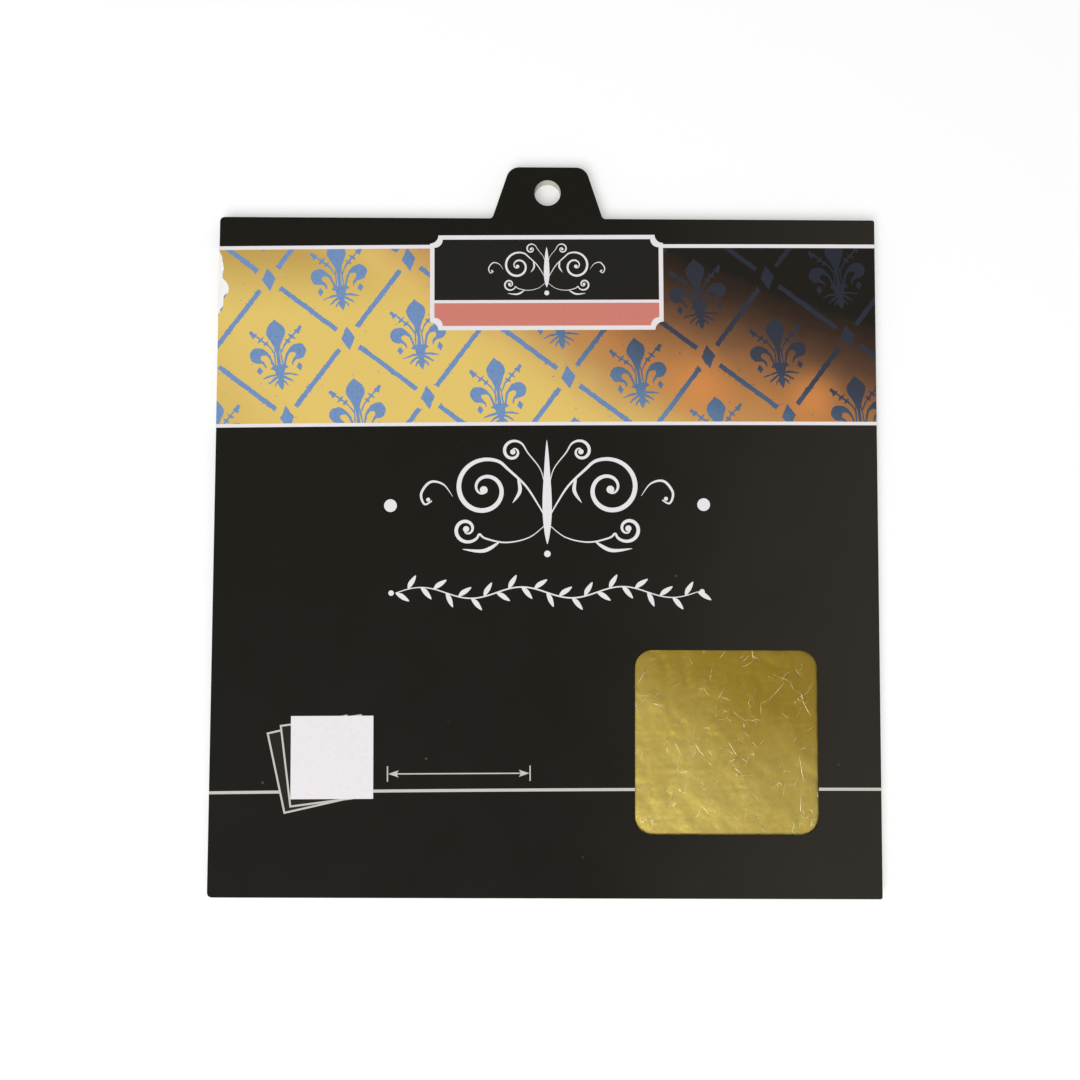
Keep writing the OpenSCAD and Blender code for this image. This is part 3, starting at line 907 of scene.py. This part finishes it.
class BOOKLET_OT_cartouche(bpy.types.Operator):
    """Prints the plain cartouche above the band: black field, white outline and rose strip"""
    bl_idname = "booklet.cartouche"
    bl_label = "Print the cartouche"

    def execute(self, context):
        left, low, right, high = -26.3, 44.9, 27.0, 66.9
        notch, edge, scale = 1.9, 1.0, 0.42
        split, gap = low + 6.6, 0.35
        ink_layer("cartouche_plate", [notched_plate(left, low, right, high, notch)], 3.2, plain_ink("white"))
        inner = notched_plate(left + edge, low + edge, right - edge, high - edge, notch)
        rose = [(x, min(y, split - gap)) for x, y in inner if y < split][:18]
        rose += [(right - edge, split - gap), (left + edge, split - gap)]
        field = [(left + edge, split + gap), (right - edge, split + gap)] + [(x, y) for x, y in inner if y > split]
        ink_layer("cartouche_rose", [rose], 4.4, plain_ink("rose"))
        ink_layer("cartouche_field", [field], 4.4, plain_ink("black"))
        bud = stroke([(0, -7.0), (0, 2.0), (0, 14.6)], 3.0, 0.05, 0.03, 0.45, 8)
        scroll = mirrored(moved(scrollwork(), 0, 0, scale)) + moved([disc(0, -10.0, 1.3, 16)] + bud, 0, 0, scale)
        ink_layer("cartouche_scroll", moved(scroll, (left + right) / 2, 57.8, 1.03), 5.6, plain_ink("white"))
        return {"FINISHED"}


def square_ring(corners, width):
    """Quads of an outline drawn inside four corners."""
    inner = []
    for i, corner in enumerate(corners):
        one, two = np.array(corners[i - 1]) - corner, np.array(corners[(i + 1) % 4]) - corner
        one, two = one / np.linalg.norm(one), two / np.linalg.norm(two)
        sine = abs(one[0] * two[1] - one[1] * two[0])
        inner.append(np.array(corner) + (one + two) * width / sine)
    return [[corners[i], corners[(i + 1) % 4], inner[(i + 1) % 4], inner[i]] for i in range(4)]


class BOOKLET_OT_size_mark(bpy.types.Operator):
    """Prints the drawing of fanned leaves and the plain arrow beside it"""
    bl_idname = "booklet.size_mark"
    bl_label = "Print the leaf drawing"

    def execute(self, context):
        pale, black = plain_ink("pale"), plain_ink("black")
        side = 18.4
        for number, (x, y, lean) in enumerate(((-58.74, -63.9, 12.4), (-57.46, -62.5, 7.2))):
            square = turned([plate(x, y, x + side, y + side)], math.radians(lean), (x, y))[0]
            ink_layer(f"drawn_sheet_{number + 1}", [square], 2 * number, black)
            ink_layer(f"drawn_outline_{number + 1}", square_ring(square, 0.42), 2 * number + 1, pale)
        left, low = -57.27, -60.67
        ink_layer("drawn_leaf", [plate(left, low, left + side, low + side)], 4, plain_ink("white"))
        middle, begin, end, half = -55.2, -35.7, -3.9, 0.14
        arrow = [plate(begin + 0.5, middle - half, end - 0.5, middle + half)]
        for x, way in ((begin, 1), (end, -1)):
            arrow += moved([[(way * 0.15, 0), (way * 2.5, 0.78), (way * 2.0, 0), (way * 2.5, -0.78)]], x, middle)
            arrow.append(plate(x - half, middle - 1.7, x + half, middle + 1.7))
        ink_layer("size_arrow", arrow, 0, pale)
        return {"FINISHED"}


def cloud(x, y, cell, seed):
    """Smooth seeded noise from 0 to 1."""
    side = 97
    grid = np.random.default_rng(seed).random((side, side))
    gx, gy = x / cell + 40.0, y / cell + 40.0
    ix, iy = np.floor(gx).astype(int), np.floor(gy).astype(int)
    fx, fy = gx - ix, gy - iy
    fx, fy = fx * fx * (3 - 2 * fx), fy * fy * (3 - 2 * fy)
    a, b, c, d = (grid[(ix + i) % side, (iy + j) % side] for i, j in ((0, 0), (1, 0), (0, 1), (1, 1)))
    return (a * (1 - fx) + b * fx) * (1 - fy) + (c * (1 - fx) + d * fx) * fy


def leaf_relief(x, y, seed):
    """Height of a laid leaf from 0 to 1: slow swells with finer puckers on them."""
    swell = cloud(x + 0.35 * y, y, 13.0, seed)
    pucker = np.abs(cloud(x, y + 0.4 * x, 4.2, seed + 1) - 0.5) * 2
    fine = np.abs(cloud(x - 0.6 * y, y, 1.7, seed + 2) - 0.5) * 2
    return 0.55 * swell + 0.3 * pucker + 0.15 * fine


def strayed(gx, gy, wander, rng):
    """The grid of a sheet with its four edges wandering, fading inwards."""
    def span(n):
        return wander * cloud(np.linspace(0, n / 3.0, n), np.full(n, 0.5), 1.0, int(rng.integers(1000)))

    nx, ny = gx.shape
    (left, low), (right, high) = (gx[0, 0], gy[0, 0]), (gx[-1, -1], gy[-1, -1])
    fade_x = np.exp(-np.minimum(gx - left, right - gx) / 2.0)
    fade_y = np.exp(-np.minimum(gy - low, high - gy) / 2.0)
    gx = gx + fade_x * np.where(gx < (left + right) / 2, 0.3 * span(ny)[None, :], -span(ny)[None, :])
    gy = gy + fade_y * np.where(gy < (low + high) / 2, span(nx)[:, None], -span(nx)[:, None])
    return gx, gy


def sheet_mesh(xs, ys, low, thick, relief=None, wander=0.0, seed=0):
    """A closed thin sheet on a grid, its height and its edges given in millimetres."""
    gx, gy = np.meshgrid(xs, ys, indexing="ij")
    nx, ny = gx.shape
    if wander:
        gx, gy = strayed(gx, gy, wander, np.random.default_rng(seed))
    base = low + (relief(gx, gy) if relief else 0 * gx)
    faces_of = [np.stack([gx, gy, base + rise], axis=-1).reshape(-1, 3) * MM for rise in (thick, 0.0)]
    ids = np.arange(nx * ny).reshape(nx, ny)
    quads = np.stack([ids[:-1, :-1], ids[1:, :-1], ids[1:, 1:], ids[:-1, 1:]], axis=-1).reshape(-1, 4)
    count = nx * ny
    faces = quads.tolist() + (quads[:, ::-1] + count).tolist()
    rim = [int(i) for side in (ids[:, 0], ids[-1, 1:], ids[-2::-1, -1], ids[0, -2:0:-1]) for i in side]
    faces += [[a, a + count, b + count, b] for a, b in zip(rim, rim[1:] + rim[:1])]
    mesh = bpy.data.meshes.new("sheet")
    mesh.from_pydata(np.concatenate(faces_of).tolist(), [], faces)
    mesh.polygons.foreach_set("use_smooth", [True] * len(mesh.polygons))
    return mesh


SPARKLES = [
    [(56.5, -38.6), (57.2, -38.1), (57.7, -37.9), (58.4, -37.4), (59.0, -36.9)],
    [(57.1, -36.6), (57.5, -37.5), (57.8, -38.4), (58.0, -39.3)], [(57.0, -38.0), (57.9, -37.7)],
    [(59.0, -36.4), (59.4, -35.5)], [(29.0, -60.0), (29.3, -60.9)], [(20.9, -38.2), (21.7, -38.0)],
    [(44.9, -46.2), (45.3, -46.9)], [(43.5, -58.8), (44.3, -58.5)], [(57.8, -56.4), (58.0, -57.5)],
    [(37.2, -53.4), (37.6, -54.0)],
]
WINDOW_WRINKLES = [
    [(33.0, -47.5), (34.7, -50.4), (36.5, -52.7), (37.7, -53.7)],
    [(39.2, -53.5), (41.0, -52.8), (42.7, -51.9), (43.8, -51.2)], [(41.0, -48.4), (42.7, -50.9), (45.3, -52.7)],
    [(27.6, -45.4), (27.0, -49.0), (27.7, -52.1)], [(48.3, -39.6), (50.3, -38.8), (51.9, -37.1), (53.5, -35.0)],
    [(54.9, -34.3), (55.6, -36.4), (57.9, -37.8), (59.4, -36.5), (60.0, -34.8)],
    [(57.5, -38.2), (58.3, -40.2), (59.6, -42.5)], [(46.3, -27.6), (46.8, -29.7)], [(32.2, -28.9), (32.9, -30.9)],
    [(39.1, -29.5), (40.6, -27.9)], [(20.3, -35.9), (22.1, -32.7), (24.4, -29.6)],
    [(20.3, -38.5), (23.6, -39.5), (26.9, -40.7)], [(56.6, -50.0), (60.9, -48.6)],
    [(56.9, -51.3), (57.5, -54.8), (57.7, -57.3)], [(57.3, -58.8), (57.1, -62.7), (56.8, -67.5)],
    [(27.8, -36.1), (31.3, -34.8)], [(37.4, -31.0), (36.8, -34.5)], [(42.2, -53.9), (44.1, -55.5)],
    [(43.7, -58.8), (46.1, -57.6)], [(30.0, -55.2), (34.5, -53.9)], [(29.2, -58.9), (27.3, -63.3)],
    [(50.9, -33.0), (54.6, -34.7)],
]


def fine_wrinkles(count):
    """Fine short creases all over the part of the leaf that the window shows."""
    rng = np.random.default_rng(31)
    lines = []
    for _ in range(count):
        x, y = rng.uniform(HOLLOW[0] + 1, HOLLOW[1] - 1), rng.uniform(HOLLOW[2] + 1, HOLLOW[3] - 1)
        way, reach = rng.normal(0.9, 0.9), rng.uniform(0.5, 2.0)
        bend = rng.normal(0, 0.35)
        line = ((reach * t, way + bend * t) for t in (-1, -0.3, 0.4, 1))
        lines.append([(x + run * math.cos(angle), y + run * math.sin(angle)) for run, angle in line])
    return lines


def within(line, left, right, low, high):
    """Tells for each point of a line whether it lies inside a rectangle."""
    return [left < x < right and low < y < high for x, y in line]


def chance_wrinkles(seed, left, low, side, count):
    """Short broken lines scattered over a leaf, clear of the window's own."""
    rng = np.random.default_rng(seed)
    window = (HOLLOW[0] - 3, HOLLOW[1] + 3, HOLLOW[2] - 3, HOLLOW[3] + 3)
    margin, edge, pace = 4, 1, 2.4
    lines = []
    while len(lines) < count:
        x, y = (start + margin + rng.random() * (side - 2 * margin) for start in (left, low))
        way, line = rng.random() * 2 * math.pi, []
        for _ in range(int(rng.integers(2, 6))):
            line.append((x, y))
            way += rng.normal(0, 0.5)
            x, y = x + pace * math.cos(way), y + pace * math.sin(way)
        inside = all(within(line, left + edge, left + side - edge, low + edge, low + side - edge))
        if inside and not (seed == 1 and any(within(line, *window))):
            lines.append(line)
    return lines


def wrinkle_mesh(lines, height, width, material):
    """Fine raised ridges along the lines, thin at both ends."""
    verts, edges = [], []
    for line in lines:
        first = len(verts)
        verts += [(x * MM, y * MM, height(x, y) * MM) for x, y in line]
        edges += [(i, i + 1) for i in range(first, len(verts) - 1)]
    source = bpy.data.meshes.new("wrinkle_lines")
    source.from_pydata(verts, edges, [])
    tree = Tree("leaf wrinkles")
    wide = tree.input("Wrinkle width", "Float", width)
    pitch = tree.input("Bend spacing", "Float", 0.0007)
    finish = tree.input("Foil", "Material", material)
    path = tree.make("GeometryNodeMeshToCurve", {"Mesh": tree.start.outputs[0]})
    bends = tree.make("GeometryNodeResampleCurve", {"Curve": path, "Length": pitch}, mode="LENGTH")
    share = tree.make("GeometryNodeSplineParameter", output="Factor")
    radius = (tree.sum("SINE", share * math.pi) + 0.12) * wide * 0.5
    loose = {"Curve": tree.wander(bends, 0.00028, 0.0022, 7), "Radius": radius}
    sized = tree.make("GeometryNodeSetCurveRadius", loose)
    profile = tree.make("GeometryNodeCurvePrimitiveCircle", {"Resolution": 4, "Radius": 1.0})
    sweep = tree.node("GeometryNodeCurveToMesh", {"Curve": sized, "Profile Curve": profile, "Fill Caps": True})
    if "Scale" in sweep.inputs:
        tree.put(sweep.inputs["Scale"], radius)
    return tree.grow(sweep.outputs[0], finish, source)


def curl_page(piece):
    """Bakes a sheet's placement into its mesh."""
    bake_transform(piece)


def denser(low, high, begin, end, before, after, between=116):
    """Places along one way, close together from begin to end."""
    close = np.linspace(begin, end, between)
    return np.concatenate([np.linspace(low, begin, before)[:-1], close, np.linspace(end, high, after)[1:]])


def leaf_grid(low, high, first):
    """Where the grid lines of a leaf lie. The first leaf has them close together behind the window."""
    if not first:
        return np.linspace(low.x, high.x, 106), np.linspace(low.y, high.y, 96)
    across = denser(low.x, high.x, HOLLOW[0] - 2, HOLLOW[1] + 2, 60, 10)
    return across, denser(low.y, high.y, HOLLOW[2] - 2, HOLLOW[3] + 2, 6, 60)


class BOOKLET_OT_leaves(bpy.types.Operator):
    """Lays a crinkled leaf on each turning page and on the sheets behind them"""
    bl_idname = "booklet.leaves"
    bl_label = "Lay the gold leaf"

    def execute(self, context):
        leaf = context.scene.booklet_leaf
        foil_share, ragged, scattered, creases = 0.6, 0.5, 46, 90
        shown, hidden = leaf_finish("gold_leaf_window", True), leaf_finish("gold_leaf_inner", False)
        # painted glints: the wrinkle ridges and the sparkles all wear this bright finish
        bright = glint_finish("gold_wrinkle")
        for number in range(1, TURNING + 1):
            low, high = (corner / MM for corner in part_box(f"leaf_{number}"))
            foil = (high.z - low.z) * foil_share
            first = number == 1
            rise = (leaf.relief if first else leaf.inner_relief) / MM

            def relief(x, y):
                return rise * leaf_relief(x, y, number * 10)

            def over(x, y):
                return low.z + foil + rise * float(leaf_relief(np.array([x]), np.array([y]), number * 10)[0])

            mesh = sheet_mesh(*leaf_grid(low, high, first), low.z, foil, relief, ragged, number)
            piece = adopt(f"gold_leaf_{number}", mesh, shown if first else hidden, None)
            curl_page(piece)
            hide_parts(f"leaf_{number}")
            lines = chance_wrinkles(number, low.x, low.y, high.x - low.x, scattered)
            wide = leaf.wrinkle_width if first else leaf.inner_relief * 1.2
            sets = [(f"leaf_wrinkles_{number}", lines + WINDOW_WRINKLES if first else lines, wide)]
            if first:
                sets.append(("leaf_sparkles", SPARKLES, wide * 2.1))
                sets.append(("leaf_fine_creases", fine_wrinkles(creases), wide * 0.5))
            for name, group, width in sets:
                lined = adopt(name, wrinkle_mesh(group, over, width, bright), bright, None)
                curl_page(lined)
        dress(hidden, "rear_leaves")
        return {"FINISHED"}


class BOOKLET_OT_tissue(bpy.types.Operator):
    """Makes the turning tissue pages as thin sheets, their grid close near the crease, and finishes the rest"""
    bl_idname = "booklet.tissue"
    bl_label = "Finish the tissue"

    def execute(self, context):
        leaf = context.scene.booklet_leaf
        material = tissue_finish("tissue_paper")
        for number in range(1, TURNING + 1):
            low, high = (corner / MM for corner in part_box(f"tissue_{number}"))
            curl_end = low.x + leaf.page_curl / MM
            xs = np.concatenate([np.linspace(low.x, curl_end, 56)[:-1], np.linspace(curl_end, high.x, 40)])
            mesh = sheet_mesh(xs, np.linspace(low.y, high.y, 60), low.z, high.z - low.z)
            piece = adopt(f"tissue_page_{number}", mesh, material, None)
            curl_page(piece)
            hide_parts(f"tissue_{number}")
        dress(material, "tissue_margins", "rear_tissues")
        return {"FINISHED"}


class BOOKLET_OT_binding(bpy.types.Operator):
    """Finishes the film, its adhesive, the glue line and the staples"""
    bl_idname = "booklet.binding"
    bl_label = "Finish the film and binding"

    def execute(self, context):
        dress(film_finish("clear_window_film"), "window_film")
        dress(gum_finish("binding_glue", (0.82, 0.76, 0.58), 0.9), "spine_glue")
        dress(wire_finish("staple_wire"), "upper_staple", "lower_staple")
        low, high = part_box("film_adhesive")
        middle, kept = (low.z + high.z) / 2, 0.84
        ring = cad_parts["film_adhesive"].data.copy()
        for vert in ring.vertices:
            vert.co.z = middle + kept * (vert.co.z - middle)
        clear = gum_finish("clear_film_gum", (0.74, 0.73, 0.66), 0.38)
        gum = adopt("window_gum", ring, clear, "cover")
        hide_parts("film_adhesive")
        return {"FINISHED"}


class BOOKLET_OT_stage(bpy.types.Operator):
    """Sets the pale floor, the even light, the soft lamp and the camera"""
    bl_idname = "booklet.stage"
    bl_label = "Set the stage"

    def execute(self, context):
        scene, stage = context.scene, context.scene.booklet_stage
        reach, level, shine = 3, -0.00002, 0.24
        floor_mesh = bpy.data.meshes.new("floor")
        floor_mesh.from_pydata([(x, y, level) for x, y in plate(-reach, -reach, reach, reach)], [], [(0, 1, 2, 3)])
        floor = bpy.data.objects.new("floor", floor_mesh)
        scene.collection.objects.link(floor)
        material = bpy.data.materials.new("pale_floor")
        material.use_nodes = True
        tree = Wiring(material.node_tree)
        chalk = tree.make("ShaderNodeBsdfDiffuse", {"Color": stage.floor})
        glow = tree.make("ShaderNodeEmission", {"Strength": tree.seen_directly() * shine})
        tree.node("ShaderNodeOutputMaterial", {"Surface": tree.make("ShaderNodeAddShader", {0: chalk, 1: glow})})
        floor_mesh.materials.append(material)

        world = bpy.data.worlds.new("studio")
        scene.world = world
        world.use_nodes = True
        tree = Wiring(world.node_tree)
        sky, plain = (tree.make("ShaderNodeBackground", {"Color": (1, 1, 1), "Strength": s}) for s in (stage.sky, 1.0))
        mix = tree.make("ShaderNodeMixShader", {0: tree.seen_directly(), 1: sky, 2: plain})
        tree.node("ShaderNodeOutputWorld", {"Surface": mix})

        lamp = bpy.data.lights.new("soft_lamp", "AREA")
        lamp.energy, lamp.size = stage.lamp, 0.7
        holder = bpy.data.objects.new("soft_lamp", lamp)
        holder.location = (-0.25, -0.55, 0.95)
        holder.rotation_euler = (-holder.location).to_track_quat("-Z", "Y").to_euler()
        scene.collection.objects.link(holder)

        camera = bpy.data.cameras.new("camera")
        camera.lens, camera.sensor_width, camera.sensor_fit = stage.lens, 36.0, "HORIZONTAL"
        camera.clip_start, camera.clip_end = 0.01, 20
        holder = bpy.data.objects.new("camera", camera)
        holder.location, holder.rotation_euler = stage.camera_place, stage.camera_turn
        scene.collection.objects.link(holder)
        scene.camera = holder
        scene.view_settings.view_transform = "Standard"
        return {"FINISHED"}


class BOOKLET_PT_panel(bpy.types.Panel):
    """Shows the booklet's settings and the buttons for its steps"""
    bl_idname = "BOOKLET_PT_panel"
    bl_label = "Gold leaf booklet"
    bl_space_type = "VIEW_3D"
    bl_region_type = "UI"
    bl_category = "Booklet"

    def draw(self, context):
        for group in GROUPS:
            box = self.layout.box()
            values = getattr(context.scene, group)
            for key in values.bl_rna.properties.keys():
                if key not in ("rna_type", "name"):
                    box.prop(values, key)
        for step in OPERATORS:
            self.layout.operator(step.bl_idname)


GROUPS = {
    "booklet_card": BookletCard,
    "booklet_print": BookletPrint,
    "booklet_leaf": BookletLeaf,
    "booklet_stage": BookletStage,
}
OPERATORS = (
    BOOKLET_OT_card, BOOKLET_OT_band, BOOKLET_OT_diaper, BOOKLET_OT_wear, BOOKLET_OT_cartouche, BOOKLET_OT_penwork,
    BOOKLET_OT_size_mark, BOOKLET_OT_leaves, BOOKLET_OT_tissue, BOOKLET_OT_binding, BOOKLET_OT_stage,
)


def register():
    for group in GROUPS.values():
        bpy.utils.register_class(group)
    for name, group in GROUPS.items():
        setattr(bpy.types.Scene, name, PointerProperty(type=group))
    for item in (*OPERATORS, BOOKLET_PT_panel):
        bpy.utils.register_class(item)


def unregister():
    for item in (BOOKLET_PT_panel, *reversed(OPERATORS)):
        bpy.utils.unregister_class(item)
    for name in GROUPS:
        delattr(bpy.types.Scene, name)
    for group in reversed(list(GROUPS.values())):
        bpy.utils.unregister_class(group)


def main():
    register()
    for step in OPERATORS:
        family, name = step.bl_idname.split(".")
        getattr(getattr(bpy.ops, family), name)()
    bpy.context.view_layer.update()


if __name__ == "__main__":
    main()
